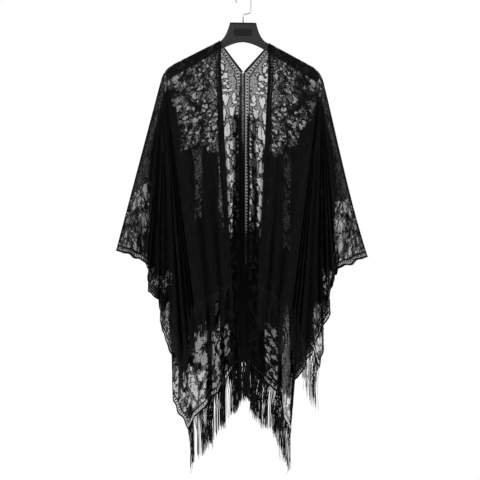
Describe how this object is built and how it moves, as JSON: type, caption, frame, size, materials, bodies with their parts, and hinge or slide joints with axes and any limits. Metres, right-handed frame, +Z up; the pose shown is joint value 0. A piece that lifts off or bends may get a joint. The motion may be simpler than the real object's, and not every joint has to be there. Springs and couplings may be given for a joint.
{
  "type": "lace shawl on clothes hanger",
  "caption": "Open-fronted lace shawl with fringed hems, joined down the back and draped over a flat clothes hanger with a wire hook.",
  "frame": {"origin": "inner top of the hook's round, where a rail carries the hanger", "axes": "+Z up, +X to the right of a viewer who faces the front, and the shawl's open front faces -Y"},
  "size_m": [0.6696, 0.2785, 1.2924],
  "materials": {
    "black_lace": "black floral lace with velvet figures, part sheer",
    "seam_stitching": "close stitching down the centre back",
    "black_fringe": "loose black yarn fringe",
    "grey_plastic": "moulded, fine grain",
    "plate_plastic": "blank inset plate",
    "hook_steel": "bright plated wire"
  },
  "bodies": {
    "root": {"panel_left": "black_lace", "panel_right": "black_lace", "back_seam": "seam_stitching", "fringe_front_left": "black_fringe", "fringe_front_right": "black_fringe", "fringe_back_left": "black_fringe", "fringe_back_right": "black_fringe", "hanger": "grey_plastic", "hanger_plate": "plate_plastic", "hanger_hook": "hook_steel"}
  },
  "joints": []
}
